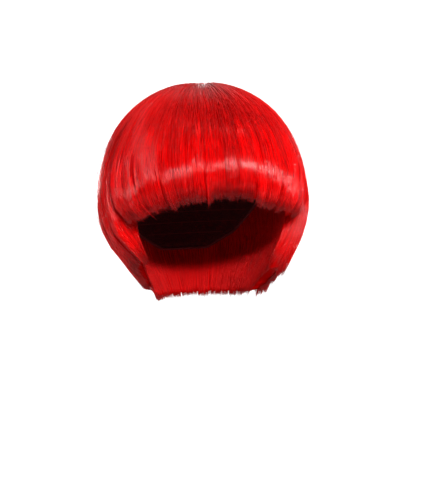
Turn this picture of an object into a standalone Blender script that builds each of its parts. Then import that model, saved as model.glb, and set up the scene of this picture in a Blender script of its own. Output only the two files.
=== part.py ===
"""A mushroom-cut wig: a fitted stretch cap with crown, fringe, side, back and nape hair.

Metres, +Z up. The wearer faces -Y and the wearer's left is +X. The origin is the crown
seat, the top of the cap's inside, where the top of a head carries the wig.
"""

import math

import bmesh
import bpy

# Head that the cap fits
HEAD_BREADTH = 0.150
HEAD_FRONT = 0.095
HEAD_BACK = 0.095
HEAD_DOME = 0.090
HEAD_SKIRT = 0.104

# Cap
CAP_WALL = 0.0015
CAP_CLEAR = 0.0006
CAP_FRONT_DROP = 0.064
CAP_TAB_DROP = 0.112
CAP_EAR_DROP = 0.096
CAP_NAPE_DROP = 0.150

# Hair
HAIR_LIFT = 0.0135
HAIR_BREADTH = 0.209
HAIR_FRONT = 0.113
HAIR_BACK = 0.117
HAIR_DOME = 0.119
HAIR_SKIRT = 0.095
FRINGE_DROP = 0.1125
FRINGE_CORNER_DROP = 0.137
SIDE_DROP = 0.174
BACK_DROP = 0.205
NAPE_DROP = 0.213
CROWN_SHARE = 0.16
NAPE_THICKNESS = 0.0050
NAPE_CLEAR = 0.0010
FRINGE_CURL = 0.009
SIDE_CURL = 0.003
BACK_CURL = 0.004
FRONT_EDGE_THICKNESS = 0.007
END_THICKNESS = 0.004
LINING_SHORT = 0.004
SEAM_GAP = 0.0011
LOCK_WIDTH = 0.0180
LOCK_DEPTH = 0.0024
LOCK_NOTCH = 0.0030

# Shape of the dome, shared by head and hair
DOME_POWER = 2.1
DOME_SHARE = 0.62

# Below the widest level, as shares: fall of the skirt's height, then the hair's half
# breadth, front and back depth, then the head's
SKIRT_SHARES = (
    # fall  side   front  back   h_side h_front h_back
    (0.00, 1.000, 1.000, 1.000, 1.000, 1.000, 1.000),
    (0.20, 0.967, 0.985, 0.985, 0.995, 0.985, 0.965),
    (0.40, 0.898, 0.940, 0.930, 0.965, 0.950, 0.900),
    (0.60, 0.793, 0.870, 0.850, 0.885, 0.890, 0.815),
    (0.80, 0.670, 0.790, 0.755, 0.735, 0.820, 0.720),
    (1.00, 0.550, 0.700, 0.660, 0.600, 0.750, 0.640),
)
SIDE, FRONT, BACK, H_SIDE, H_FRONT, H_BACK = range(1, 7)

# Seams between the sections: degrees round from the front at the crown, the same at the
# seam's lower end, and how far that end lies below the top
FRINGE_SEAM = (56.0, 76.0, FRINGE_CORNER_DROP)
BACK_SEAM = (120.0, 111.0, BACK_DROP)
NAPE_START = 104.0
NAPE_RUN_OUT = 12.0
NAPE_RISE_SHARE = 0.4

# Lower edge of each section: degrees round from the front, and how far along the way
# from the section's front drop to its rear drop the edge has come
FRINGE_EDGE_SHARES = ((0, 0.00), (20, 0.05), (38, 0.24), (55, 0.52), (68, 0.80), (78, 1.00))
SIDE_EDGE_SHARES = (
    (76, 0.00), (84, 0.05), (92, 0.30), (100, 0.65), (111, 0.95), (120, 1.00),
)
CAP_EDGE = (
    # round, drop
    (0, CAP_FRONT_DROP),
    (35, CAP_FRONT_DROP * 1.04),
    (58, CAP_FRONT_DROP * 1.35),
    (68, CAP_TAB_DROP),
    (78, CAP_TAB_DROP * 0.98),
    (92, CAP_EAR_DROP),
    (112, CAP_EAR_DROP * 1.06),
    (138, CAP_NAPE_DROP * 0.90),
    (160, CAP_NAPE_DROP),
    (180, CAP_NAPE_DROP),
)

# How neighbouring locks differ, as shares: width, extra length of the tip, depth of valley
LOCK_SHARES = (
    (1.00, 0.10, 0.8),
    (0.78, 0.75, 1.0),
    (1.22, 0.35, 0.7),
    (0.90, 1.00, 1.0),
    (1.12, 0.00, 0.9),
    (0.84, 0.55, 0.7),
    (1.06, 0.20, 1.0),
)

# Where along the way from crown to edge, as shares: the hair turns in, thins towards the
# face, makes room for the nape hair, and the nape hair starts above the cap's edge
CURL_START_SHARE = 0.66
THIN_START_SHARE = 0.80
THIN_RUN_SHARE = 0.20
NAPE_ROOM_SHARE = 0.60
NAPE_ROOM_RUN_SHARE = 0.12
NAPE_OVERLAP_SHARE = 0.06

# Degrees over which the side hair thins, and over which room for the nape hair opens
THIN_TURN = 15.0
ROOM_TURN = 10.0

# Form of one lock, as shares of its width, its tip's length and the valley's depth
LOCK_RISE_SHARE = 0.30
NOTCH_SHARE = 0.6
CROWN_VALLEY_SHARE = 0.25

HAIR_ROWS = 12
NAPE_ROWS = 5
CROWN_ROWS = 4
CAP_ROWS = 10
CAP_COLUMNS = 48
CROWN_LOCKS = 16

RED = (0.58, 0.004, 0.006)
DEEP_RED = (0.22, 0.002, 0.004)


def ease(x):
    """Smooth step from 0 to 1."""
    x = min(max(x, 0.0), 1.0)
    return x * x * (3.0 - 2.0 * x)


def along(table, x, column=1):
    """Value of a table's column at x, with straight runs between its rows."""
    if x <= table[0][0]:
        return table[0][column]
    for before, after in zip(table, table[1:]):
        if x <= after[0]:
            share = (x - before[0]) / (after[0] - before[0])
            return before[column] + (after[column] - before[column]) * share
    return table[-1][column]


def smoothly(table, x, column):
    """The same with a curve through the rows, for tables with even steps."""
    step = table[1][0] - table[0][0]
    place = min(max((x - table[0][0]) / step, 0.0), len(table) - 1.0)
    i = min(int(place), len(table) - 2)
    t = place - i
    p1, p2 = table[i][column], table[i + 1][column]
    p0 = table[i - 1][column] if i > 0 else 2.0 * p1 - p2
    p3 = table[i + 2][column] if i + 2 < len(table) else 2.0 * p2 - p1
    return 0.5 * (
        2.0 * p1
        + (p2 - p0) * t
        + (2.0 * p0 - 5.0 * p1 + 4.0 * p2 - p3) * t * t
        + (3.0 * p1 - p0 - 3.0 * p2 + p3) * t * t * t
    )


def shell_point(turn, way, size, columns, thicker=0.0):
    """Point on a shell round the head.

    turn is in degrees round from the front, and way runs from 0 at the top to 1 at the
    lowest edge. size holds the half breadth, front depth, back depth, top height, dome
    height and skirt height, and columns names the shell's own columns of SKIRT_SHARES.
    """
    half, front, back, top, dome, skirt = size
    side_column, front_column, back_column = columns
    if way < DOME_SHARE:
        angle = 0.5 * math.pi * way / DOME_SHARE
        out = math.sin(angle) ** (2.0 / DOME_POWER)
        z = top - dome + dome * math.cos(angle) ** (2.0 / DOME_POWER)
        shares = (out, out, out)
    else:
        fall = (way - DOME_SHARE) / (1.0 - DOME_SHARE)
        z = top - dome - skirt * fall
        shares = tuple(smoothly(SKIRT_SHARES, fall, c) for c in (side_column, front_column, back_column))
    sine, cosine = math.sin(math.radians(turn)), math.cos(math.radians(turn))
    depth = front * shares[1] if cosine > 0.0 else back * shares[2]
    x, y = half * shares[0] * sine, -depth * cosine
    reach = math.hypot(x, y)
    if reach > 1e-9:
        x, y = x * (1.0 + thicker / reach), y * (1.0 + thicker / reach)
    return x, y, z


def head_size(outwards):
    """Size of a shell that lies this far outside the head."""
    return (
        0.5 * HEAD_BREADTH + outwards,
        HEAD_FRONT + outwards,
        HEAD_BACK + outwards,
        outwards,
        HEAD_DOME + outwards,
        HEAD_SKIRT,
    )


HAIR_SIZE = (0.5 * HAIR_BREADTH, HAIR_FRONT, HAIR_BACK, HAIR_LIFT, HAIR_DOME, HAIR_SKIRT)
HAIR_COLUMNS = (SIDE, FRONT, BACK)
HEAD_COLUMNS = (H_SIDE, H_FRONT, H_BACK)
LINING_SIZE = head_size(CAP_WALL + CAP_CLEAR)


def way_at(drop, size):
    """How far along a shell's way its surface has fallen by drop below its top."""
    top, dome, skirt = size[3:]
    if drop < dome:
        angle = math.acos((1.0 - drop / dome) ** (0.5 * DOME_POWER))
        return DOME_SHARE * angle / (0.5 * math.pi)
    return DOME_SHARE + (1.0 - DOME_SHARE) * min((drop - dome) / skirt, 1.0)


def lock_columns(width):
    """Columns across a section of locks: share across, valley depth and tip length."""
    count = max(3, round(width / LOCK_WIDTH))
    rows = [LOCK_SHARES[i % len(LOCK_SHARES)] for i in range(count)]
    whole = sum(row[0] for row in rows)
    columns, start = [], 0.0
    for i, (share, tip, valley) in enumerate(rows):
        share = share / whole
        tip_before = rows[i - 1][1] if i else tip
        columns.append((start, valley, 0.5 * (tip + tip_before) - NOTCH_SHARE))
        columns.append((start + LOCK_RISE_SHARE * share, 0.0, tip))
        columns.append((start + (1.0 - LOCK_RISE_SHARE) * share, 0.0, tip))
        start += share
    columns.append((1.0, rows[-1][2], rows[-1][1] - NOTCH_SHARE))
    return columns


def wrapped(name, columns, rows, outer, inner, material, closed=False):
    """Wrap a flat grid round the head, extrude it once and lay the new side as lining."""
    grid = bmesh.new()
    bmesh.ops.create_grid(grid, x_segments=columns, y_segments=rows, size=0.5)
    across = grid.verts.layers.int.new("across")
    down = grid.verts.layers.int.new("down")
    for vert in grid.verts:
        vert[across] = round((vert.co.x + 0.5) * columns)
        vert[down] = round((vert.co.y + 0.5) * rows)
        vert.co = outer(vert[across], vert[down])
    if closed:
        bmesh.ops.remove_doubles(grid, verts=grid.verts[:], dist=1e-6)
    lining = bmesh.ops.extrude_face_region(grid, geom=grid.faces[:])
    for vert in lining["geom"]:
        if isinstance(vert, bmesh.types.BMVert):
            vert.co = inner(vert[across], vert[down])
    bmesh.ops.recalc_face_normals(grid, faces=grid.faces[:])
    mesh = bpy.data.meshes.new(name)
    grid.to_mesh(mesh)
    grid.free()
    mesh.shade_smooth()
    mesh.materials.append(material)
    piece = bpy.data.objects.new(name, mesh)
    bpy.data.collections["wig"].objects.link(piece)
    return piece


def finish(name, colour, roughness):
    """A plain material."""
    material = bpy.data.materials.new(name)
    material.use_nodes = True
    shader = material.node_tree.nodes["Principled BSDF"]
    shader.inputs["Base Color"].default_value = (*colour, 1.0)
    shader.inputs["Roughness"].default_value = roughness
    shader.inputs["Metallic"].default_value = 0.0
    return material


def seam_turn(seam, way, side_of_gap):
    """Turn of a section's side at its seam, half of the gap away from the seam itself."""
    at_crown, at_edge, edge_drop = seam
    share = (way - CROWN_SHARE) / (way_at(edge_drop, HAIR_SIZE) - CROWN_SHARE)
    turn = at_crown + (at_edge - at_crown) * min(max(share, 0.0), 1.0)
    x, y, _ = shell_point(turn, way, LINING_SIZE, HEAD_COLUMNS)
    return turn + side_of_gap * math.degrees(0.5 * SEAM_GAP / math.hypot(x, y))


def section(name, left_seam, right_seam, edge_drop, curl, thin_front, material):
    """A section of hair from the crown patch down to its cut edge."""
    widest = math.radians(abs(right_seam[1] - left_seam[1]))
    columns = lock_columns(widest * 0.5 * (0.5 * HAIR_BREADTH + HAIR_FRONT))
    start = CROWN_SHARE + SEAM_GAP / (HAIR_DOME / DOME_SHARE)
    way_round = math.copysign(1.0, right_seam[1] - left_seam[1])

    def place(i, j):
        share, valley, tip = columns[i]
        down = j / HAIR_ROWS
        way = start + (1.0 - start) * down
        for _ in range(6):
            left = seam_turn(left_seam, way, way_round)
            right = seam_turn(right_seam, way, -way_round)
            turn = left + (right - left) * share
            drop = edge_drop(abs(turn)) + LOCK_NOTCH * tip
            way = start + (way_at(drop, HAIR_SIZE) - start) * down
        return turn, way, down, valley, drop

    def lining(turn, way, drop):
        """Inner side, pushed out where the nape hair lies under it."""
        under = NAPE_THICKNESS + NAPE_CLEAR
        under *= ease((abs(turn) - NAPE_START + ROOM_TURN) / (0.7 * ROOM_TURN))
        under *= ease((way - NAPE_ROOM_SHARE) / NAPE_ROOM_RUN_SHARE)
        inner_way = min(way, way_at(drop - HAIR_LIFT - LINING_SHORT, LINING_SIZE))
        return shell_point(turn, inner_way, LINING_SIZE, HEAD_COLUMNS, under)

    def outer(i, j):
        turn, way, down, valley, drop = place(i, j)
        deepening = CROWN_VALLEY_SHARE + (1.0 - CROWN_VALLEY_SHARE) * ease(down)
        depth = LOCK_DEPTH * valley * deepening
        turned_in = curl * ease((down - CURL_START_SHARE) / (1.0 - CURL_START_SHARE))
        x, y, z = shell_point(turn, way, HAIR_SIZE, HAIR_COLUMNS, -depth - turned_in)
        ix, iy, _ = lining(turn, way, drop)
        inside = math.hypot(ix, iy)
        full = max(math.hypot(x, y) - inside, END_THICKNESS)
        thin = thin_front(abs(turn), down)
        full += (min(FRONT_EDGE_THICKNESS, full) - full) * thin
        grown = (inside + full) / math.hypot(x, y)
        return x * grown, y * grown, z

    def inner(i, j):
        turn, way, _, _, drop = place(i, j)
        return lining(turn, way, drop)

    return wrapped(name, len(columns) - 1, HAIR_ROWS, outer, inner, material)


def turned(seam, start, way_round):
    """The same seam on another side of the head."""
    return start + way_round * seam[0], start + way_round * seam[1], seam[2]


def fringe_edge(turn):
    return FRINGE_DROP + (FRINGE_CORNER_DROP - FRINGE_DROP) * along(FRINGE_EDGE_SHARES, turn)


def side_edge(turn):
    return SIDE_DROP + (BACK_DROP - SIDE_DROP) * along(SIDE_EDGE_SHARES, turn)


def nape_edge(turn):
    near_the_sides = ease((NAPE_START + NAPE_RUN_OUT - turn) / NAPE_RUN_OUT)
    return NAPE_DROP - NAPE_RISE_SHARE * (NAPE_DROP - BACK_DROP) * near_the_sides


def no_thinning(turn, down):
    return 0.0


def side_thinning(turn, down):
    """The ends of the side hair come in to the face."""
    near_the_face = ease((FRINGE_SEAM[1] + THIN_TURN + 1.0 - turn) / THIN_TURN)
    return near_the_face * ease((down - THIN_START_SHARE) / THIN_RUN_SHARE)


def make_fringe(material):
    left = turned(FRINGE_SEAM, 0.0, -1.0)
    section("fringe", left, FRINGE_SEAM, fringe_edge, FRINGE_CURL, no_thinning, material)


def make_sides(material):
    for name, way_round in (("side_hair_right", -1.0), ("side_hair_left", 1.0)):
        front = turned(FRINGE_SEAM, 0.0, way_round)
        back = turned(BACK_SEAM, 0.0, way_round)
        section(name, front, back, side_edge, SIDE_CURL, side_thinning, material)


def make_back(material):

    def edge(turn):
        return side_edge(min(turn, 360.0 - turn))

    right = turned(BACK_SEAM, 360.0, -1.0)
    section("back_hair", BACK_SEAM, right, edge, BACK_CURL, no_thinning, material)


def make_crown(material):
    """Round patch at the top, its locks meeting at the middle."""
    count = CROWN_LOCKS * 3

    def outer(i, j):
        turn = 360.0 * (i % count) / count
        down = j / CROWN_ROWS
        depth = CROWN_VALLEY_SHARE * LOCK_DEPTH * down if i % 3 == 0 else 0.0
        return shell_point(turn, CROWN_SHARE * down, HAIR_SIZE, HAIR_COLUMNS, -depth)

    def inner(i, j):
        turn = 360.0 * (i % count) / count
        return shell_point(turn, CROWN_SHARE * j / CROWN_ROWS, LINING_SIZE, HEAD_COLUMNS)

    wrapped("crown_hair", count, CROWN_ROWS, outer, inner, material, closed=True)


def make_nape(material):
    """Under layer at the nape: it hugs the neck and shows below the back hair."""
    width = math.radians(360.0 - 2.0 * NAPE_START) * 0.5 * HEAD_BREADTH
    columns = lock_columns(width)
    start = way_at(CAP_NAPE_DROP, LINING_SIZE) - NAPE_OVERLAP_SHARE

    def place(i, j):
        share, valley, tip = columns[i]
        turn = NAPE_START + (360.0 - 2.0 * NAPE_START) * share
        drop = nape_edge(min(turn, 360.0 - turn)) + LOCK_NOTCH * (tip - 1.0) - HAIR_LIFT
        end = way_at(drop, LINING_SIZE)
        down = j / NAPE_ROWS
        return turn, start + (end - start) * down, down, valley

    def outer(i, j):
        turn, way, down, valley = place(i, j)
        x, y, z = shell_point(turn, way, HAIR_SIZE, HAIR_COLUMNS)
        ix, iy, iz = shell_point(turn, way, LINING_SIZE, HEAD_COLUMNS)
        room = math.hypot(x - ix, y - iy) / math.hypot(ix, iy)
        out = min(NAPE_THICKNESS / math.hypot(ix, iy), room)
        out -= 0.5 * LOCK_DEPTH * valley * ease(down) / math.hypot(ix, iy)
        return ix * (1.0 + out), iy * (1.0 + out), iz

    def inner(i, j):
        turn, way, _, _ = place(i, j)
        return shell_point(turn, way, LINING_SIZE, HEAD_COLUMNS)

    wrapped("nape_hair", len(columns) - 1, NAPE_ROWS, outer, inner, material)


def make_cap(material):
    """Thin cap with ear tabs, from the crown seat to its bound edge."""

    def place(i, j):
        turn = 360.0 * (i % CAP_COLUMNS) / CAP_COLUMNS
        drop = along(CAP_EDGE, min(turn, 360.0 - turn))
        return turn, way_at(drop, head_size(0.0)) * j / CAP_ROWS

    def outer(i, j):
        return shell_point(*place(i, j), head_size(CAP_WALL), HEAD_COLUMNS)

    def inner(i, j):
        return shell_point(*place(i, j), head_size(0.0), HEAD_COLUMNS)

    wrapped("wig_cap", CAP_COLUMNS, CAP_ROWS, outer, inner, material, closed=True)


def main():
    for old in list(bpy.data.objects):
        bpy.data.objects.remove(old, do_unlink=True)
    wig = bpy.data.collections.new("wig")
    bpy.context.scene.collection.children.link(wig)
    hair = finish("red fibre", RED, 0.3)
    net = finish("cap net", DEEP_RED, 0.8)
    make_cap(net)
    make_crown(hair)
    make_fringe(hair)
    make_sides(hair)
    make_back(hair)
    make_nape(hair)


main()
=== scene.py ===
import math

import bmesh
import bpy
import numpy as np
from mathutils import Matrix, Vector


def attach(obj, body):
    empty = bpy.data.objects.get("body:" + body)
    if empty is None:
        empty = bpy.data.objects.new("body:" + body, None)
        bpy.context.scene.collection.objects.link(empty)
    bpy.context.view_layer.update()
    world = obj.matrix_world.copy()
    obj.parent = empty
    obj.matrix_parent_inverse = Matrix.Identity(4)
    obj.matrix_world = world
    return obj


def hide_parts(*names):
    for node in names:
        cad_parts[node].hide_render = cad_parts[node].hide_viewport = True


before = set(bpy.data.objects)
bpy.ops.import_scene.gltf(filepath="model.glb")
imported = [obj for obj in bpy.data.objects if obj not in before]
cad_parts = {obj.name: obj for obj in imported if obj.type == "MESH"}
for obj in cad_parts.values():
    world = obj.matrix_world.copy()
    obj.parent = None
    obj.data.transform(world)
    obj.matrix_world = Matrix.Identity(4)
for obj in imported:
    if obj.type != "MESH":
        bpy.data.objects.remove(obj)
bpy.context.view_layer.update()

# ---- Form of the cap's inside and of the hair round it, in metres ----
CAP_WALL = 0.0015
CAP_CLEAR = 0.0006
CAP_SIZE = dict(half=0.075, front=0.095, back=0.095, top=0.0, dome=0.090, skirt=0.104)
HAIR_SIZE = dict(half=0.1045, front=0.113, back=0.117, top=0.0135, dome=0.119, skirt=0.095)
DOME_POWER = 2.1
DOME_SHARE = 0.62

# Half breadth, front depth and back depth below the widest level, in even steps
HAIR_SHARES = (
    (1.000, 0.967, 0.898, 0.793, 0.670, 0.550),
    (1.000, 0.985, 0.940, 0.870, 0.790, 0.700),
    (1.000, 0.985, 0.930, 0.850, 0.755, 0.660),
)
CAP_SHARES = (
    (1.000, 0.995, 0.965, 0.885, 0.735, 0.600),
    (1.000, 0.985, 0.950, 0.890, 0.820, 0.750),
    (1.000, 0.965, 0.900, 0.815, 0.720, 0.640),
)

# Edges, as drops below the top of the hair or of the cap
CROWN_WAY = 0.16
FRINGE_DROP = 0.1125
FRINGE_CORNER_DROP = 0.137
SIDE_DROP = 0.174
BACK_DROP = 0.205
NAPE_DROP = 0.213
CAP_NAPE_DROP = 0.150
FRINGE_EDGE = ((0, 0.00), (20, 0.05), (38, 0.24), (55, 0.52), (68, 0.80), (78, 1.00))
SIDE_EDGE = ((76, 0.00), (84, 0.05), (92, 0.30), (100, 0.65), (111, 0.95), (120, 1.00))

# Where this cut is longer than its plain edge: degrees, and metres
FRINGE_LONGER = (
    (-60, 0.0010), (-48, 0.0000), (-26, 0.0015), (-11, 0.0000), (6, 0.0000),
    (15, 0.0060), (25, 0.0090), (40, 0.0080), (60, 0.0040),
)
CLUMP_TURN, CLUMP_WIDTH, CLUMP_LONGER = -14.2, 1.7, 0.0070
CAP_EDGE = (
    (0, 0.0640), (35, 0.0666), (58, 0.0864), (68, 0.1120), (78, 0.1098),
    (92, 0.0960), (112, 0.1018), (138, 0.1350), (160, 0.1500), (180, 0.1500),
)

# Seams: degrees round from the front at the crown and at the lower end, and its drop
FRINGE_SEAM = (64.0, 76.0, FRINGE_CORNER_DROP)
BACK_SEAM = (120.0, 111.0, BACK_DROP)
NAPE_START = 104.0
NAPE_FADE = 12.0
NAPE_LOCKS = 9
NAPE_THICKNESS = 0.0050

# How the hair lies: degrees that it is combed, and shares of that in even steps downwards
COMB = 8.5
SWING = (0.00, 0.10, 0.22, 0.30, 0.30, 0.15, -0.20, -0.60, -1.00)
TEMPLE_SWING = (0.00, 0.42, 0.82, 1.12, 1.20, 1.10, 0.82, 0.45, 0.00)
TEMPLE_END = 0.66
CURL_START = 0.72
BELOW_CROWN = 0.45
LOWEST_WAY = 1.04

# Thickness, locks and fibres, in metres and in shares
FACE_THICKNESS = 0.0070
FACE_THINNED = (16.0, 15.0)
FACE_SPREAD = (-0.010, 0.006)
FACE_DEPTH = 0.0180
LEAST_THICKNESS = 0.0012
LOCK_GATHER = 0.16
LOCK_TIP = 0.0030
LOCK_VALLEY = 0.0016
LOCK_SWAY = 0.0010
FIBRE_SWAY = 0.0007
UNEVEN = 0.0010
ROOT_SINK = 0.0045
SURFACE_INSET = 0.0012
PACKED_INSET = 0.0042
PACKED_SHORT = 0.0050
PACKED_LINING = 0.0016
FIBRE_SIDES = 3
LOCK_WIDTHS = np.array([1.00, 0.62, 1.35, 0.80, 1.18, 0.70, 1.05, 0.88])
LOCK_TIPS = np.array([0.10, 0.75, 0.35, 1.00, 0.00, 0.55, 0.20, 0.65])

# Camera, from the photograph, and its scale at the wig
VIEW_TURN = math.radians(-16.0)
VIEW_RISE = math.radians(2.0)
VIEW_ROLL = math.radians(2.5)
VIEW_DISTANCE = 1.7
PIXELS_PER_METRE = 1026.0
FRAME_PIXELS = (425.0, 500.0)
WIG_AXIS_PIXEL = (202.4, 190.0)
WIG_AXIS_POINT = Vector((0.0, 0.0, -0.0918))
SENSOR_WIDTH = 36.0

# Studio
FLOOR_LEVEL = -0.90
LIGHT_AIM = Vector((0.0, 0.0, -0.07))
LIGHT_SPREAD = math.radians(70.0)
WORLD_LIGHT = 0.05


def ease(x):
    """Smooth step from 0 to 1."""
    x = np.clip(x, 0.0, 1.0)
    return x * x * (3.0 - 2.0 * x)


def table_value(table, x):
    """Second column of a table at x, with straight runs between its rows."""
    rows = np.array(table)
    return np.interp(x, rows[:, 0], rows[:, 1])


def smooth_share(column, fall):
    """Curve through a column of shares with even steps."""
    column = np.array(column)
    before, after = 2 * column[0] - column[1], 2 * column[-1] - column[-2]
    padded = np.concatenate(([before], column, [after]))
    place = np.clip(fall, 0.0, 1.0) * (len(column) - 1)
    i = np.minimum(place.astype(int), len(column) - 2)
    t = place - i
    p0, p1, p2, p3 = padded[i], padded[i + 1], padded[i + 2], padded[i + 3]
    square = 2 * p0 - 5 * p1 + 4 * p2 - p3
    cube = 3 * p1 - p0 - 3 * p2 + p3
    return 0.5 * (2 * p1 + (p2 - p0) * t + square * t * t + cube * t * t * t)


def fold(turn):
    """Degrees from the front, the same on both sides."""
    turn = np.abs(turn)
    return np.minimum(turn, 360.0 - turn)


def shell(turn, way, size, shares, outwards=0.0):
    """Points on a shell: turn is in degrees round from the front, way from 0 at the top."""
    turn, way = np.broadcast_arrays(np.asarray(turn, float), np.asarray(way, float))
    angle = 0.5 * math.pi * np.clip(way / DOME_SHARE, 0.0, 1.0)
    below = np.maximum(way - DOME_SHARE, 0.0) / (1.0 - DOME_SHARE)
    out = np.sin(angle) ** (2.0 / DOME_POWER)
    height = np.abs(np.cos(angle)) ** (2.0 / DOME_POWER)
    z = size["top"] - size["dome"] * (1.0 - height) - size["skirt"] * below
    sine, cosine = np.sin(np.radians(turn)), np.cos(np.radians(turn))
    side, front, back = (smooth_share(column, below) for column in shares)
    depth = np.where(cosine > 0.0, size["front"] * front, size["back"] * back)
    x, y = size["half"] * side * out * sine, -depth * out * cosine
    grown = 1.0 + outwards / np.maximum(np.hypot(x, y), 1e-6)
    return np.stack([x * grown, y * grown, z], axis=-1)


def hair_shell(turn, way):
    return shell(turn, way, HAIR_SIZE, HAIR_SHARES)


def cap_shell(turn, way, clear=0.0, outwards=0.0):
    """The cap's inside, or a shell that lies clear of it on every side."""
    size = {name: value + clear for name, value in CAP_SIZE.items()}
    size["skirt"] = CAP_SIZE["skirt"]
    return shell(turn, way, size, CAP_SHARES, outwards)


def lining(turn, way, outwards=0.0):
    """Inner side of the hair, just outside the cap."""
    return cap_shell(turn, np.minimum(way, 1.0), CAP_WALL + CAP_CLEAR, outwards)


def radius_of(points):
    return np.maximum(np.hypot(points[..., 0], points[..., 1]), 1e-6)


def at_radius(points, radius):
    """The same points moved out from or in to the upright axis."""
    grown = radius / radius_of(points)
    return np.stack([points[..., 0] * grown, points[..., 1] * grown, points[..., 2]], axis=-1)


def hair_point(turn, way, inset):
    """Point below the hair's outer surface, square to it."""
    step = 0.004
    at = hair_shell(turn, way)
    after = hair_shell(turn, np.minimum(way + step, LOWEST_WAY))
    down = after - hair_shell(turn, np.maximum(way - step, 0.0))
    sine, cosine = np.sin(np.radians(turn)), np.cos(np.radians(turn))
    across = np.stack([cosine, sine, np.zeros_like(sine)], axis=-1)
    outward = np.cross(down, across)
    outward /= np.maximum(np.linalg.norm(outward, axis=-1, keepdims=True), 1e-9)
    return at - outward * inset[..., None]


def way_at(drop, size):
    """How far along its way a shell has fallen by drop below its top."""
    drop = np.asarray(drop, float)
    height = np.clip(1.0 - drop / size["dome"], 0.0, 1.0)
    on_dome = DOME_SHARE * np.arccos(height ** (0.5 * DOME_POWER)) / (0.5 * math.pi)
    on_skirt = DOME_SHARE + (1.0 - DOME_SHARE) * (drop - size["dome"]) / size["skirt"]
    return np.where(drop < size["dome"], on_dome, on_skirt)


def lining_way_at(drop):
    """The same for the lining, drop measured from the top of the hair."""
    size = dict(CAP_SIZE, dome=CAP_SIZE["dome"] + CAP_WALL + CAP_CLEAR)
    return way_at(np.maximum(drop - HAIR_SIZE["top"] + CAP_WALL + CAP_CLEAR, 0.0), size)


def seam_turn(seam, way):
    at_crown, at_edge, edge_drop = seam
    share = (way - CROWN_WAY) / (way_at(edge_drop, HAIR_SIZE) - CROWN_WAY)
    return at_crown + (at_edge - at_crown) * np.clip(share, 0.0, 1.0)


def turned(seam, start, way_round):
    """The same seam on another side of the wig."""
    return start + way_round * seam[0], start + way_round * seam[1], seam[2]


def fringe_edge(turn):
    clump = CLUMP_LONGER * np.exp(-(((turn - CLUMP_TURN) / CLUMP_WIDTH) ** 2))
    plain = (FRINGE_CORNER_DROP - FRINGE_DROP) * table_value(FRINGE_EDGE, fold(turn))
    return FRINGE_DROP + plain + table_value(FRINGE_LONGER, turn) + clump


def side_edge(turn):
    return SIDE_DROP + (BACK_DROP - SIDE_DROP) * table_value(SIDE_EDGE, fold(turn))


def rolled_in(down):
    """How far the ends have turned under, from 0 where they start to 1 at the tips."""
    return np.clip((down - CURL_START) / (1.0 - CURL_START), 0.0, 1.0) ** 2


def comb(turn, way, down):
    """Degrees that hair lies back of its own place, and forward of it where negative."""
    away = fold(turn)
    amount = COMB * np.sign(np.sin(np.radians(turn)))
    front = ease((away - 10.0) / 45.0) * ease((178.0 - away) / 60.0)
    temple = ease((away - 45.0) / 25.0) * ease((125.0 - away) / 35.0)
    lower = front * (1.0 - 0.5 * temple) * smooth_share(SWING, down)
    level = (way - CROWN_WAY) / (TEMPLE_END - CROWN_WAY)
    return amount * (lower + temple * smooth_share(TEMPLE_SWING, level))


def locks_across(share, count):
    """Which lock each share lies in, where in it from -1 to 1, its middle and its tip."""
    widths = LOCK_WIDTHS[np.arange(count) % len(LOCK_WIDTHS)]
    ends = np.concatenate([[0.0], np.cumsum(widths) / widths.sum()])
    lock = np.clip(np.searchsorted(ends, share, side="right") - 1, 0, count - 1)
    middle = 0.5 * (ends[lock] + ends[lock + 1])
    half = 0.5 * (ends[lock + 1] - ends[lock])
    place = np.clip((share - middle) / half, -1.3, 1.3)
    return lock, place, middle, LOCK_TIPS[lock % len(LOCK_TIPS)]


# Each section's seams, lower edge and locks, and its numbers of fibres. curl is how far its
# ends turn in, in metres, uneven how much they differ, and root_spread how far its roots lie
# apart. front_longer adds length at its left seam, fading across it. At the front opening
# face_thin is how much of its thickness goes, and face_depth how far in its fibres lie.
SECTIONS = {
    "fringe": dict(
        left=turned(FRINGE_SEAM, 0.0, -1.0), right=FRINGE_SEAM, edge=fringe_edge, locks=15,
        outer=2500, inner=0, loose=4, curl=0.0085, root_spread=0.30, uneven=0.0022,
    ),
    "side_hair_right": dict(
        left=turned(FRINGE_SEAM, 0.0, -1.0), right=turned(BACK_SEAM, 0.0, -1.0),
        edge=side_edge, locks=5, outer=1500, inner=400, loose=2, curl=0.0050, root_spread=0.40,
    ),
    "side_hair_left": dict(
        left=FRINGE_SEAM, right=BACK_SEAM, edge=side_edge, locks=5,
        outer=1500, inner=400, loose=3, curl=-0.0030, root_spread=0.40,
        face_thin=0.25, face_depth=0.0300, front_longer=(0.0150, 0.35),
    ),
    "back_hair": dict(
        left=BACK_SEAM, right=turned(BACK_SEAM, 360.0, -1.0), edge=side_edge, locks=14,
        outer=2500, inner=900, loose=3, curl=0.0040, root_spread=0.45, front_longer=(0.0100, 5.0),
    ),
}


def lie(section, share, root, along, tip_longer, combed=1.0):
    """Turn and way of hair at each place along it, and how far down its section that is."""
    at_front, fade = section.get("front_longer", (0.0, 0.0))
    longer = tip_longer + at_front * np.maximum(1.0 - fade * share[:, -1:], 0.0)
    way = root + (0.9 - root) * along
    for _ in range(4):
        left, right = seam_turn(section["left"], way), seam_turn(section["right"], way)
        turn = left + (right - left) * share
        end = way_at(section["edge"](turn[:, -1:]) + longer, HAIR_SIZE)
        way = root + (end - root) * along
    down = np.clip((way - CROWN_WAY) / (end - CROWN_WAY), 0.0, 1.0)
    return turn + combed * comb(turn, way, down), way, down


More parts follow.
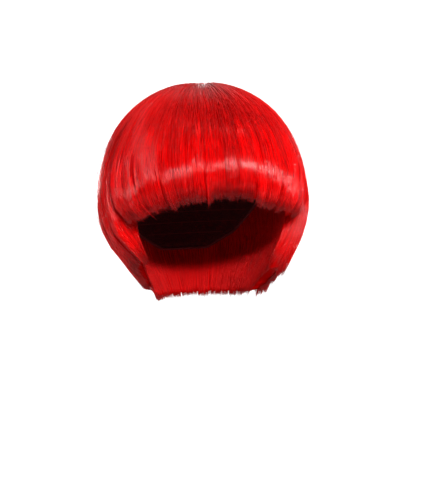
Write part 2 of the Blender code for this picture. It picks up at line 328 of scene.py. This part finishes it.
def settle(section, turn, way, down, inset):
    """Points below the surface, thinned at the front opening and kept clear of the lining."""
    points = hair_point(turn, way, inset)
    inner = radius_of(lining(turn, way))
    thickness = radius_of(points) - inner
    if section["edge"] is side_edge:
        reach, fade = FACE_THINNED
        near_face = ease((FRINGE_SEAM[1] + reach - fold(turn)) / fade)
        thin = section.get("face_thin", 1.0) * near_face * ease((down - 0.80) / 0.20)
        full = np.maximum(radius_of(hair_shell(turn, way)) - inner, FACE_THICKNESS)
        thickness = thickness * (1.0 - thin * (1.0 - FACE_THICKNESS / full))
    full_enough = np.maximum(thickness, LEAST_THICKNESS)
    thickness = np.where(way > BELOW_CROWN, full_enough, thickness)
    return at_radius(points, inner + thickness)


def spread_out(draw, count):
    """Shares of a section's width, even but for a little chance, in no order."""
    share = (np.arange(count) + draw.random(count)) / count
    draw.shuffle(share)
    return share


def fibre_radius(draw, count, along, least, more):
    """Radii down each fibre, which thins at its root and at its tip."""
    thick = least + more * draw.random(count)
    ends = np.minimum(ease(8.0 * along), ease(6.0 * (1.0 - along) + 0.12))
    return thick[:, None] * (0.35 + 0.65 * ends)


def outer_fibres(section, count, places, depths, seed, loose=0.0):
    """Points, radii and shades of the fibres that make a section's outside."""
    draw = np.random.default_rng(seed)
    share = spread_out(draw, count)
    lock, place, middle, tip = locks_across(share, section["locks"])
    lock_phase = draw.random(section["locks"])[lock][:, None]
    lock_shade = draw.random(section["locks"])[lock]
    depth = depths[0] + (depths[1] - depths[0]) * draw.random(count)
    uneven = draw.standard_normal((count, 1))
    own_phase = draw.random((count, 1))
    along = np.linspace(0.0, 1.0, places)[None, :]
    root = (0.03 + draw.random(count) ** 1.6 * section["root_spread"])[:, None]
    gather = LOCK_GATHER * draw.random((count, 1)) * ease((along - 0.45) / 0.55)
    held = share[:, None] + (middle - share)[:, None] * gather
    longer = LOCK_TIP * (tip - 0.2) * (1.0 - place**2) - 0.5 * depth
    longer = longer[:, None] + section.get("uneven", UNEVEN) * uneven
    combed = 1.0 - ease((depth[:, None] - 0.0025) / 0.002)
    turn, way, down = lie(section, held, root, along, longer, combed)

    lock_sway = np.sin(2.0 * math.pi * (0.8 * along + lock_phase + 0.1 * uneven))
    own_sway = np.sin(2.0 * math.pi * (1.3 * along + own_phase))
    sway = (LOCK_SWAY * lock_sway + FIBRE_SWAY * own_sway) * ease(3.0 * along)
    turn = turn + np.degrees(sway / np.maximum(radius_of(hair_shell(turn, way)), 0.02))

    bulge = 0.0008 * np.sin(2.0 * math.pi * (1.5 * down + lock_phase))
    bulge = bulge + 0.0005 * np.sin(2.0 * math.pi * (2.6 * down + 1.7 * lock_phase))
    valley = LOCK_VALLEY * place[:, None] ** 2 * (0.15 + 0.85 * ease(1.1 * down))
    curl = section["curl"] * rolled_in(down) * (1.0 + 0.20 * uneven * ease((down - 0.8) / 0.2))
    sink = ROOT_SINK * (1.0 - ease((way - root) / 0.10))
    inset = SURFACE_INSET + depth[:, None] + (bulge + 0.0013) * ease(2.0 * down)
    inset = inset + valley + curl + sink
    if loose:
        lift = loose * (0.4 + draw.random((count, 1))) * np.sin(math.pi * along) ** 2
        inset = 0.0010 + curl - lift
    points = settle(section, turn, way, down, inset)
    fine = 0.5 if loose else 1.0
    radius = fibre_radius(draw, count, along, fine * 0.00020, fine * 0.00014)
    return points, radius, 0.40 * lock_shade + 0.60 * draw.random(count)


def face_fibres(section, count, places, seed):
    """Fibres at the front of the side hair, from its outside in to the cap."""
    draw = np.random.default_rng(seed)
    along = np.linspace(0.0, 1.0, places)[None, :]
    least, most = FACE_SPREAD
    share = least + (most - least) * draw.random((count, 1))
    root = (0.30 + 0.20 * draw.random(count))[:, None]
    longer = 0.0025 * draw.standard_normal((count, 1))
    turn, way, down = lie(section, share, root, along, longer)
    depth = 0.0010 + section.get("face_depth", FACE_DEPTH) * draw.random((count, 1))
    depth = depth * ease((way - root) / 0.06 + 0.3)
    sway = 0.3 * np.sin(2.0 * math.pi * (along + draw.random((count, 1))))
    points = settle(section, turn + sway, way, down, depth + section["curl"] * rolled_in(down))
    radius = fibre_radius(draw, count, along, 0.00022, 0.00014)
    return points, radius, 0.6 * draw.random(count)


def inner_fibres(section, count, places, seed):
    """Fibres that line a section on its inner side."""
    draw = np.random.default_rng(seed)
    share = spread_out(draw, count)
    along = np.linspace(0.0, 1.0, places)[None, :]
    root = (0.50 + 0.14 * draw.random(count))[:, None]
    longer = -0.0040 + 0.0020 * draw.standard_normal((count, 1))
    turn, way, _ = lie(section, share[:, None], root, along, longer)
    drop = HAIR_SIZE["top"] - hair_shell(turn, way)[..., 2]
    inner_way = lining_way_at(drop)
    sway = 0.8 * np.sin(2.0 * math.pi * (along + draw.random((count, 1))))
    out = 0.0005 + 0.0010 * draw.random((count, 1))
    points = lining(turn + sway, inner_way, out)
    radius = fibre_radius(draw, count, along, 0.00022, 0.00014)
    return points, radius, 0.35 * draw.random(count)


def crown_fibres(count, places, seed):
    """Fibres that leave the whorl at the top and lie over the roots of the sections."""
    draw = np.random.default_rng(seed)
    turn = 360.0 * (np.arange(count) + draw.random(count)) / count
    draw.shuffle(turn)
    along = np.linspace(0.0, 1.0, places)[None, :]
    root = (0.004 + 0.13 * draw.random(count) ** 1.3)[:, None]
    end = root + (0.26 + 0.16 * draw.random((count, 1)))
    way = root + (end - root) * along
    whorl = 55.0 * np.exp(-way / 0.035)
    sway = 1.2 * np.sin(2.0 * math.pi * (0.9 * along + draw.random((count, 1))))
    sink = 0.0022 * (1.0 - ease((way - root) / 0.07)) + 0.0016 * ease((along - 0.55) / 0.45)
    inset = 0.0004 + 0.0014 * draw.random((count, 1)) + sink
    points = hair_point(turn[:, None] + whorl + sway, way, inset)
    thick = 0.00018 + 0.00012 * draw.random(count)
    taper = 0.30 + 0.70 * np.minimum(ease(8.0 * along), ease(2.5 * (1.0 - along)))
    return points, thick[:, None] * taper, 0.15 + 0.85 * draw.random(count)


def nape_edge(turn):
    """Drop of the nape's lower edge, which is higher towards the sides."""
    near_sides = ease((NAPE_START + NAPE_FADE - fold(turn)) / NAPE_FADE)
    return NAPE_DROP - 0.4 * (NAPE_DROP - BACK_DROP) * near_sides


def nape_fibres(count, places, seed, inside):
    """Short fibres of the close layer at the nape, on its outer or inner side."""
    draw = np.random.default_rng(seed)
    share = spread_out(draw, count)
    _, place, middle, tip = locks_across(share, NAPE_LOCKS)
    along = np.linspace(0.0, 1.0, places)[None, :]
    gather = (middle - share)[:, None] * LOCK_GATHER * draw.random((count, 1)) * ease(along)
    held = share[:, None] + gather
    turn = NAPE_START + (360.0 - 2.0 * NAPE_START) * held
    drop = nape_edge(turn) + (0.0015 * (tip - 0.4) * (1.0 - place**2))[:, None] - 0.003
    drop = drop + 0.0016 * draw.standard_normal((count, 1))
    cap_end = lining_way_at(CAP_NAPE_DROP + HAIR_SIZE["top"])
    root = cap_end - 0.05 + 0.08 * draw.random((count, 1))
    end = lining_way_at(drop)[:, -1:]
    way = root + (end - root) * along
    if inside:
        out = 0.0004 + 0.0009 * draw.random((count, 1))
    else:
        out = NAPE_THICKNESS - 0.0009 - 0.0016 * draw.random((count, 1))
        out = out - 0.0012 * (place**2)[:, None] * ease(along)
        out = out * (0.35 + 0.65 * ease(4.0 * along)) * (1.0 - 0.45 * ease(3.0 * along - 2.0))
    points = cap_shell(turn, way, CAP_WALL + CAP_CLEAR, out)
    radius = fibre_radius(draw, count, along, 0.00020, 0.00013)
    return points, radius, 0.45 * draw.random(count)


def fibre_mesh(name, points, radius, shade, shaded_brightest):
    """Join many thin closed tubes into one mesh, from arrays.

    points is (fibres, places, 3), radius (fibres, places), and shade from 0, dark, to 1.
    Each fibre has its own narrow column of the map, darkest first, and its root is at 0.
    Less than 1, the brightest share keeps a mesh to the darker part of the map: painted shade on
    fibres that are meant to look less lit.
    """
    fibres, places = points.shape[:2]
    tangent = np.gradient(points, axis=1)
    tangent /= np.maximum(np.linalg.norm(tangent, axis=-1, keepdims=True), 1e-12)
    outward = points - np.array([0.0, 0.0, -0.085])
    across = np.cross(tangent, outward)
    across /= np.maximum(np.linalg.norm(across, axis=-1, keepdims=True), 1e-12)
    outward = np.cross(across, tangent)
    turns = 2.0 * math.pi * np.arange(FIBRE_SIDES) / FIBRE_SIDES
    ring = (
        np.cos(turns)[:, None] * outward[:, :, None, :]
        + np.sin(turns)[:, None] * across[:, :, None, :]
    )
    verts = points[:, :, None, :] + radius[:, :, None, None] * ring
    index = np.arange(fibres * places * FIBRE_SIDES).reshape(fibres, places, FIBRE_SIDES)
    after = np.roll(index, -1, axis=2)
    walls = np.stack([index[:, :-1], after[:, :-1], after[:, 1:], index[:, 1:]], axis=-1)

    column = shaded_brightest * np.argsort(np.argsort(shade)) / fibres
    wide = 0.96 * shaded_brightest / fibres
    left = np.broadcast_to(column[:, None, None] + wide * turns / (2.0 * math.pi), walls.shape[:3])
    right = left + wide / FIBRE_SIDES
    along = np.linspace(0.0, 1.0, places)
    top = np.broadcast_to(along[None, :-1, None], walls.shape[:3])
    low = np.broadcast_to(along[None, 1:, None], walls.shape[:3])
    pairs = ((left, top), (right, top), (right, low), (left, low))
    wall_map = np.stack([np.stack(pair, axis=-1) for pair in pairs], axis=-2)
    end_u = column[:, None] + wide * np.array([0.0, 0.5, 1.0])
    end_maps = [
        np.stack([end_u, np.broadcast_to(v, end_u.shape)], axis=-1)
        for v in ([0.0, 0.004, 0.0], [1.0, 0.996, 1.0])
    ]
    quads, ends = walls.reshape(-1, 4), np.concatenate([index[:, 0, ::-1], index[:, -1]])
    corners = np.concatenate([quads.ravel(), ends.ravel()])
    layout = np.concatenate([part.reshape(-1, 2) for part in (wall_map, *end_maps)])
    starts = np.concatenate([4 * np.arange(len(quads)), quads.size + 3 * np.arange(len(ends))])
    mesh = bpy.data.meshes.new(name)
    mesh.vertices.add(verts.size // 3)
    mesh.vertices.foreach_set("co", verts.astype(np.float32).ravel())
    mesh.loops.add(len(corners))
    mesh.loops.foreach_set("vertex_index", corners.astype(np.int32))
    mesh.polygons.add(len(starts))
    mesh.polygons.foreach_set("loop_start", starts.astype(np.int32))
    mesh.update(calc_edges=True)
    mesh.uv_layers.new(name="OFBake")
    mesh.uv_layers["OFBake"].data.foreach_set("uv", layout.astype(np.float32).ravel())
    mesh.shade_smooth()
    return mesh


def add_piece(name, mesh, finish, slot_name, *stands_for):
    """Put a finished mesh in the scene as a piece of the wig."""
    piece = bpy.data.objects.new(name, mesh)
    bpy.context.scene.collection.objects.link(piece)
    mesh.materials.append(finish)
    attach(piece, "root")
    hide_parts(*stands_for)
    return piece


def add_fibres(name, batches, node, shaded_brightest=1.0, finish=None):
    points, radius, shade = (np.concatenate(group) for group in zip(*batches))
    mesh = fibre_mesh(name, points, radius, shade, shaded_brightest)
    add_piece(name, mesh, finish or FIBRE, "hair_fibre", node)


def wrapped(name, columns, rows, outer, inner, closed=False):
    """Wrap a flat grid round the wig, extrude it once and lay the new side as lining."""
    grid = bmesh.new()
    bmesh.ops.create_grid(grid, x_segments=columns, y_segments=rows, size=0.5)
    across = grid.verts.layers.float.new("across")
    down = grid.verts.layers.float.new("down")
    verts = grid.verts[:]
    u = np.round([(vert.co.x + 0.5) * columns for vert in verts]) / columns
    v = np.round([(vert.co.y + 0.5) * rows for vert in verts]) / rows
    for vert, a, d, co in zip(verts, u, v, outer(u, v)):
        vert[across], vert[down] = a, d
        vert.co = co
    if closed:
        bmesh.ops.remove_doubles(grid, verts=grid.verts[:], dist=1e-6)
    made = bmesh.ops.extrude_face_region(grid, geom=grid.faces[:])
    lined = [item for item in made["geom"] if isinstance(item, bmesh.types.BMVert)]
    u = np.array([vert[across] for vert in lined])
    v = np.array([vert[down] for vert in lined])
    for vert, co in zip(lined, inner(u, v)):
        vert.co = co
    bmesh.ops.recalc_face_normals(grid, faces=grid.faces[:])
    layout = grid.loops.layers.uv.new("lay")
    for face in grid.faces:
        spots = [loop.vert[across] for loop in face.loops]
        over_seam = max(spots) - min(spots) > 0.5
        for loop, spot in zip(face.loops, spots):
            loop[layout].uv = (spot + (over_seam and spot < 0.5), loop.vert[down])
    mesh = bpy.data.meshes.new(name)
    grid.to_mesh(mesh)
    grid.free()
    mesh.shade_smooth()
    return mesh


def add_packed_section(node, section):
    """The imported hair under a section's fibres, a little smaller than the section."""
    margin = 0.006
    start = CROWN_WAY - 0.02

    def place(u, v):
        turn, way, down = lie(
            section, (margin + (1.0 - 2.0 * margin) * u)[:, None], start,
            np.stack([v, np.ones_like(v)], axis=-1), -PACKED_SHORT,
        )
        return turn[:, 0], way[:, 0], down[:, 0]

    def outer(u, v):
        turn, way, down = place(u, v)
        spot = locks_across(u, section["locks"])[1]
        inset = PACKED_INSET + section["curl"] * rolled_in(down) + 0.0018 * spot**2 * down
        points = settle(section, turn, way, down, inset)
        least = radius_of(lining(turn, way)) + PACKED_LINING + LEAST_THICKNESS
        radius = radius_of(points)
        return at_radius(points, np.where(way > BELOW_CROWN, np.maximum(radius, least), radius))

    def inner(u, v):
        turn, way, _ = place(u, v)
        drop = HAIR_SIZE["top"] - hair_shell(turn, way)[..., 2]
        return lining(turn, lining_way_at(drop), PACKED_LINING * ease((way - 0.3) / 0.2))

    mesh = wrapped(node + "_packed", 6 * section["locks"], 26, outer, inner)
    add_piece(node + "_packed", mesh, PACKED, "hair_fibre", node)


def add_crown():
    reach = CROWN_WAY + 0.05

    def outer(u, v):
        return hair_point(360.0 * (u % 1.0), reach * v, 0.0010 + 0.0024 * ease(2.0 * v))

    def inner(u, v):
        return lining(360.0 * (u % 1.0), 0.9 * reach * v, 0.0004)

    mesh = wrapped("crown_hair_packed", 96, 10, outer, inner, closed=True)
    add_piece("crown_hair_packed", mesh, PACKED, "hair_fibre", "crown_hair")
    strands = crown_fibres(int(CROWN_COUNT * DENSITY), 11, 41)
    # The crown fibres keep to the darker reds as painted shade on the top
    add_fibres("crown_hair_fibres", [strands], "crown_hair", 0.40, CROWN)


def add_nape():
    cap_end = lining_way_at(CAP_NAPE_DROP + HAIR_SIZE["top"])

    def place(u, v):
        turn = NAPE_START + 1.0 + (358.0 - 2.0 * NAPE_START) * u
        start = cap_end - 0.05
        return turn, start + (lining_way_at(nape_edge(turn) - 0.004) - start) * v

    def outer(u, v):
        spot = locks_across(u, NAPE_LOCKS)[1]
        out = NAPE_THICKNESS - 0.0022 - 0.0010 * spot**2 * v
        return lining(*place(u, v), out * (0.4 + 0.6 * ease(5.0 * v)))

    def inner(u, v):
        return lining(*place(u, v), 0.0010)

    mesh = wrapped("nape_hair_packed", 72, 10, outer, inner)
    add_piece("nape_hair_packed", mesh, PACKED, "hair_fibre", "nape_hair")
    outside = nape_fibres(int(NAPE_OUTSIDE * DENSITY), 8, 51, inside=False)
    inside = nape_fibres(int(NAPE_INSIDE * DENSITY), 8, 52, inside=True)
    # The nape's fibres keep to the darker reds and its lining to the darkest: painted shade under
    # the back hair and on the inside
    add_fibres("nape_hair_fibres", [outside], "nape_hair", 0.50)
    add_fibres("nape_hair_lining", [inside], "nape_hair", 0.25, LINING)


def cap_edge_way(turn):
    drop = table_value(CAP_EDGE, fold(turn))
    return way_at(drop, CAP_SIZE)


def tube_round(bm, points, radius, sides, closed=False):
    """A thin tube through the points: a ring at each, bridged to the next."""
    count = len(points)
    rings = []
    for i, point in enumerate(points):
        before = points[i - 1] if i or closed else point
        after = points[(i + 1) % count] if i + 1 < count or closed else point
        turn = Vector(after - before).to_track_quat("Z", "Y").to_matrix().to_4x4()
        made = bmesh.ops.create_circle(
            bm, segments=sides, radius=radius, matrix=Matrix.Translation(Vector(point)) @ turn
        )
        rings.append(made["verts"])
    pairs = list(zip(rings, rings[1:])) + ([(rings[-1], rings[0])] if closed else [])
    for one, other in pairs:
        edges = {edge for ring in (one, other) for vert in ring for edge in vert.link_edges
                 if edge.other_vert(vert) in ring}
        bmesh.ops.bridge_loops(bm, edges=list(edges))
    if not closed:
        for ring in (rings[0], rings[-1]):
            bmesh.ops.contextual_create(bm, geom=ring)


def add_cap():
    """Stretch net with wefts sewn on, and a bound edge."""

    def place(u, v):
        turn = 360.0 * (u % 1.0)
        return turn, cap_edge_way(turn) * v

    def outer(u, v):
        return cap_shell(*place(u, v), CAP_WALL)

    def inner(u, v):
        return cap_shell(*place(u, v), 0.0004)

    mesh = wrapped("cap_net", 144, 36, outer, inner, closed=True)
    add_piece("cap_net", mesh, NET, "cap_net", "wig_cap")

    seams = bmesh.new()
    turns = np.linspace(0.0, 360.0, 120, endpoint=False)
    tube_round(seams, cap_shell(turns, cap_edge_way(turns), 0.0009), 0.0013, 8, closed=True)
    for drop in np.arange(0.014, 0.140, 0.011):
        level = way_at(drop, CAP_SIZE)
        inside = cap_edge_way(turns) > level + 0.015
        if inside.all():
            tube_round(seams, cap_shell(turns, level, 0.0007), 0.0006, 5, closed=True)
            continue
        start = int(np.argmin(inside))
        runs = np.roll(turns, -start)[np.roll(inside, -start)]
        breaks = np.flatnonzero(np.abs((np.diff(runs) + 180.0) % 360.0 - 180.0) > 4.0) + 1
        for run in np.split(runs, breaks):
            if len(run) > 3:
                tube_round(seams, cap_shell(run, level, 0.0007), 0.0006, 5)
    bmesh.ops.recalc_face_normals(seams, faces=seams.faces[:])
    mesh = bpy.data.meshes.new("cap_seams")
    seams.to_mesh(mesh)
    seams.free()
    mesh.shade_smooth()
    add_piece("cap_seams", mesh, TAPE, "cap_net", "wig_cap")


class Wire:
    """A shader socket that can be used in sums."""

    def __init__(self, finish, socket):
        self.finish, self.socket = finish, socket

    def maths(self, operation, *values):
        return self.finish.add("ShaderNodeMath", {"operation": operation}, dict(enumerate(values)))

    def __add__(self, other):
        return self.maths("ADD", self, other)

    __radd__ = __add__

    def __sub__(self, other):
        return self.maths("SUBTRACT", self, other)

    def __rsub__(self, other):
        return self.maths("SUBTRACT", other, self)

    def __mul__(self, other):
        return self.maths("MULTIPLY", self, other)

    __rmul__ = __mul__


class Finish:
    """A material under construction."""

    def __init__(self, name, **settings):
        self.material = bpy.data.materials.new(name)
        self.material.use_nodes = True
        self.tree = self.material.node_tree
        self.shader = self.tree.nodes["Principled BSDF"]
        for key, value in settings.items():
            self.shader.inputs[key.replace("_", " ")].default_value = value

    def add(self, kind, settings=None, inputs=None, output=0):
        """A node of any kind: its settings first, then the values or wires of its inputs."""
        node = self.tree.nodes.new(kind)
        for key, value in (settings or {}).items():
            if key == "stops":
                while len(node.color_ramp.elements) < len(value):
                    node.color_ramp.elements.new(0.5)
                for element, (position, colour) in zip(node.color_ramp.elements, value):
                    element.position = position
                    element.color = (*colour, 1.0)
            else:
                setattr(node, key, value)
        for key, value in (inputs or {}).items():
            if isinstance(value, Wire):
                self.tree.links.new(value.socket, node.inputs[key])
            else:
                node.inputs[key].default_value = value
        return Wire(self, node.outputs[output])

    def ramp(self, wire, *stops):
        return self.add("ShaderNodeValToRGB", {"stops": stops}, {"Fac": wire})

    def run(self, wire, start, end, low, high):
        """Wire's stretch from start to end carried over to low and high."""
        bounds = {"From Min": start, "From Max": end, "To Min": low, "To Max": high}
        return self.add("ShaderNodeMapRange", {}, {"Value": wire, **bounds})

    def darkened(self, colour, wire):
        grey = self.add("ShaderNodeCombineColor", {}, {0: wire, 1: wire, 2: wire})
        settings = {"data_type": "RGBA", "blend_type": "MULTIPLY"}
        return self.add("ShaderNodeMix", settings, {0: 1.0, 6: colour, 7: grey}, output=2)

    def feed(self, name, wire):
        self.tree.links.new(wire.socket, self.shader.inputs[name])

    def bump(self, height, strength, distance):
        inputs = {"Height": height, "Strength": strength, "Distance": distance}
        self.feed("Normal", self.add("ShaderNodeBump", {}, inputs))


DARK_RED = (0.500, 0.0008, 0.0010)
MID_RED = (0.780, 0.0012, 0.0016)
BRIGHT_RED = (0.960, 0.0022, 0.0028)
DEEP_SHADE_RED = (0.280, 0.0004, 0.0006)
NET_GAP = (0.020, 0.0006, 0.001)
NET_THREAD = (0.12, 0.002, 0.004)
TAPE_DARK = (0.06, 0.001, 0.002)
TAPE_LIGHT = (0.16, 0.003, 0.005)


def fibre_finish(name, gloss, rough):
    """Glossy synthetic fibre: each has its own red, with painted shade that darkens it towards the
    root and the tip.
    """
    finish = Finish(name, IOR=1.5)
    finish.shader.inputs["Specular IOR Level"].default_value = gloss
    finish.shader.inputs["Specular Tint"].default_value = (1.0, 0.80, 0.80, 1.0)
    layout = finish.add("ShaderNodeTexCoord", output=2)
    shade = finish.add("ShaderNodeSeparateXYZ", {}, {0: layout}, output=0)
    along = finish.add("ShaderNodeSeparateXYZ", {}, {0: layout}, output=1)
    own = finish.ramp(shade, (0.0, DARK_RED), (0.4, MID_RED), (1.0, BRIGHT_RED))
    # Painted shade: each fibre darkens over its first half towards the root, and near its end
    # towards the tip, where the ends turn under
    root = finish.run(along, 0.0, 0.50, 0.42, 1.0)
    tip = finish.run(along, 0.86, 1.0, 1.0, 0.60)
    finish.feed("Base Color", finish.darkened(own, root * tip))
    finish.feed("Roughness", rough - shade * 0.09)
    return finish.material


def packed_finish():
    """Packed fibres seen deep between the top ones: streaks of deep, dark and mid red, darker than
    the top fibres as painted shade between them.
    """
    finish = Finish("packed_fibre", Roughness=0.6)
    finish.shader.inputs["Specular IOR Level"].default_value = 0.0
    layout = finish.add("ShaderNodeTexCoord", output=2)
    stretched = finish.add("ShaderNodeMapping", {}, {"Vector": layout, "Scale": (260.0, 3.0, 1.0)})
    noise = {"Vector": stretched, "Scale": 1.0, "Detail": 3.0}
    streak = finish.add("ShaderNodeTexNoise", {}, noise)
    # Painted shade: the packed hair stays darker than the fibres over it
    reds = finish.ramp(streak, (0.30, DEEP_SHADE_RED), (0.55, DARK_RED), (0.75, MID_RED))
    finish.feed("Base Color", reds)
    finish.bump(streak, 0.6, 0.0008)
    return finish.material


def net_finish():
    """Stretch net of the cap: a fine mesh of threads in deep red."""
    finish = Finish("cap_net", Roughness=0.8)
    finish.shader.inputs["Specular IOR Level"].default_value = 0.2
    place = finish.add("ShaderNodeTexCoord", output=3)
    cells = finish.add(
        "ShaderNodeTexVoronoi", {"feature": "DISTANCE_TO_EDGE"}, {"Vector": place, "Scale": 620.0}
    )
    thread = finish.run(cells, 0.0, 0.16, 1.0, 0.0)
    finish.feed("Base Color", finish.ramp(thread, (0.0, NET_GAP), (1.0, NET_THREAD)))
    finish.bump(thread, 0.5, 0.0006)
    return finish.material


def tape_finish():
    """Woven elastic tape of the cap's seams."""
    finish = Finish("cap_tape", Roughness=0.7)
    finish.shader.inputs["Specular IOR Level"].default_value = 0.25
    place = finish.add("ShaderNodeTexCoord", output=3)
    bands = {"Vector": place, "Scale": 420.0, "Distortion": 1.5}
    weave = finish.add("ShaderNodeTexWave", {}, bands)
    finish.feed("Base Color", finish.ramp(weave, (0.0, TAPE_DARK), (1.0, TAPE_LIGHT)))
    finish.bump(weave, 0.4, 0.0003)
    return finish.material


def make_camera():
    """Camera at the photograph's angle: the front, from a little to one side of it."""
    flat_right = Vector((math.cos(VIEW_TURN), math.sin(VIEW_TURN), 0.0))
    back = Vector((
        math.sin(VIEW_TURN) * math.cos(VIEW_RISE),
        -math.cos(VIEW_TURN) * math.cos(VIEW_RISE),
        math.sin(VIEW_RISE),
    ))
    upright = back.cross(flat_right)
    right = flat_right * math.cos(VIEW_ROLL) - upright * math.sin(VIEW_ROLL)
    up = flat_right * math.sin(VIEW_ROLL) + upright * math.cos(VIEW_ROLL)
    aside = (0.5 * FRAME_PIXELS[0] - WIG_AXIS_PIXEL[0]) / PIXELS_PER_METRE
    lower = (0.5 * FRAME_PIXELS[1] - WIG_AXIS_PIXEL[1]) / PIXELS_PER_METRE
    middle = WIG_AXIS_POINT + right * aside - up * lower
    data = bpy.data.cameras.new("camera")
    data.sensor_fit = "HORIZONTAL"
    data.sensor_width = SENSOR_WIDTH
    data.lens = SENSOR_WIDTH * VIEW_DISTANCE * PIXELS_PER_METRE / FRAME_PIXELS[0]
    data.clip_start, data.clip_end = 0.05, 50.0
    camera = bpy.data.objects.new("camera", data)
    turn = Matrix((right, up, back)).transposed()
    camera.matrix_world = Matrix.Translation(middle + back * VIEW_DISTANCE) @ turn.to_4x4()
    bpy.context.scene.collection.objects.link(camera)
    bpy.context.scene.camera = camera


# Soft lights round the wig: turn and rise in degrees, distance, breadth and height in
# metres, and brightness in watts for each square metre and steradian
SOFTBOXES = {
    "front_softbox": (5.0, 20.0, 1.5, 1.0, 0.06, 28.0),
    "left_softbox": (-80.0, 3.0, 1.5, 0.3, 0.15, 5.0),
    "right_softbox": (52.0, 5.0, 1.5, 0.3, 0.15, 2.5),
    "top_softbox": (0.0, 66.0, 1.5, 1.4, 0.12, 1.0),
    "crown_softbox": (165.0, 60.0, 1.6, 1.2, 0.40, 0.6),
    "back_softbox": (172.0, 24.0, 1.5, 1.2, 0.12, 4.5),
    "back_left_softbox": (118.0, 14.0, 1.5, 0.3, 0.3, 2.4),
    "back_right_softbox": (-132.0, 14.0, 1.5, 0.3, 0.3, 2.4),
}


def make_lights():
    for name, (turn, rise, distance, wide, high, radiance) in SOFTBOXES.items():
        data = bpy.data.lights.new(name, "AREA")
        data.shape = "RECTANGLE"
        data.size, data.size_y = wide, high
        data.energy = radiance * math.pi * wide * high
        data.spread = LIGHT_SPREAD
        lamp = bpy.data.objects.new(name, data)
        a, e = math.radians(turn), math.radians(rise)
        way = Vector((math.sin(a) * math.cos(e), -math.cos(a) * math.cos(e), math.sin(e)))
        lamp.location = LIGHT_AIM + way * distance
        lamp.rotation_euler = way.to_track_quat("Z", "Y").to_euler()
        bpy.context.scene.collection.objects.link(lamp)
    world = bpy.data.worlds.new("studio")
    world.use_nodes = True
    tree = world.node_tree
    dim, bright = tree.nodes["Background"], tree.nodes.new("ShaderNodeBackground")
    for shader in (dim, bright):
        shader.inputs["Color"].default_value = (1.0, 1.0, 1.0, 1.0)
    dim.inputs["Strength"].default_value = WORLD_LIGHT
    # What the camera sees is white, and what lights the wig is dim
    seen, mix = tree.nodes.new("ShaderNodeLightPath"), tree.nodes.new("ShaderNodeMixShader")
    tree.links.new(seen.outputs["Is Camera Ray"], mix.inputs[0])
    tree.links.new(dim.outputs[0], mix.inputs[1])
    tree.links.new(bright.outputs[0], mix.inputs[2])
    tree.links.new(mix.outputs[0], tree.nodes["World Output"].inputs["Surface"])
    bpy.context.scene.world = world


def make_backdrop():
    """White paper: a floor that sweeps up into a wall, and glows more further away."""
    sweep = bmesh.new()
    bend = np.linspace(0.0, 0.5 * math.pi, 12)
    profile = [(-2.5, 0.0)] + [(1.4 + 0.8 * math.sin(a), 0.8 - 0.8 * math.cos(a)) for a in bend]
    profile.append((2.2, 3.0))
    line = [sweep.verts.new((-3.0, y, FLOOR_LEVEL + z)) for y, z in profile]
    edges = [sweep.edges.new(pair) for pair in zip(line, line[1:])]
    made = bmesh.ops.extrude_edge_only(sweep, edges=edges)
    moved = [item for item in made["geom"] if isinstance(item, bmesh.types.BMVert)]
    bmesh.ops.translate(sweep, verts=moved, vec=(6.0, 0.0, 0.0))
    bmesh.ops.recalc_face_normals(sweep, faces=sweep.faces[:])
    mesh = bpy.data.meshes.new("studio_floor")
    sweep.to_mesh(mesh)
    sweep.free()
    mesh.shade_smooth()
    paper = Finish("white_paper", Base_Color=(0.8, 0.8, 0.8, 1.0), Roughness=0.9)
    paper.shader.inputs["Emission Color"].default_value = (1.0, 1.0, 1.0, 1.0)
    place = paper.add("ShaderNodeTexCoord", output=3)
    far = paper.add("ShaderNodeVectorMath", {"operation": "LENGTH"}, {0: place}, output=1)
    glow = paper.run(far, 1.1, 2.0, 0.08, 0.85)
    grey = paper.add("ShaderNodeCombineColor", {}, {0: glow, 1: glow, 2: glow})
    paper.feed("Emission Color", grey)
    paper.shader.inputs["Emission Strength"].default_value = 1.0
    mesh.materials.append(paper.material)
    floor = bpy.data.objects.new("studio_floor", mesh)
    bpy.context.scene.collection.objects.link(floor)


DENSITY = 1.0
TOP_SHARE = 0.77
FACE_COUNT = 450
CROWN_COUNT = 1900
NAPE_OUTSIDE = 1000
NAPE_INSIDE = 900

FIBRE = fibre_finish("hair_fibre", 0.42, 0.21)
LINING = fibre_finish("lining_fibre", 0.15, 0.55)
CROWN = fibre_finish("crown_fibre", 0.30, 0.44)
PACKED = packed_finish()
NET = net_finish()
TAPE = tape_finish()

make_camera()
make_lights()
make_backdrop()
for seed, (node, section) in enumerate(SECTIONS.items()):
    add_packed_section(node, section)
    count = int(section["outer"] * DENSITY)
    batches = [
        outer_fibres(section, int(TOP_SHARE * count), 13, (0.0, 0.0028), 10 + seed),
        outer_fibres(section, int((1.0 - TOP_SHARE) * count), 13, (0.0028, 0.0070), 20 + seed),
        outer_fibres(section, section["loose"], 13, (0.0, 0.0), 30 + seed, loose=0.0016),
    ]
    add_fibres(node + "_fibres", batches, node)
    if section["edge"] is side_edge and node != "back_hair":
        wall = face_fibres(section, int(FACE_COUNT * DENSITY), 10, 70 + seed)
        # Fibres at the front opening keep to the darker reds: painted shade under the fringe
        # corner
        add_fibres(node + "_face_side", [wall], node, 0.50)
    if section["inner"]:
        inside = inner_fibres(section, int(section["inner"] * DENSITY), 9, 60 + seed)
        # Lining fibres keep to the darkest reds: painted shade on the inside of the hair
        add_fibres(node + "_lining", [inside], node, 0.25, LINING)
add_crown()
add_nape()
add_cap()
bpy.context.scene.view_settings.view_transform = "Standard"
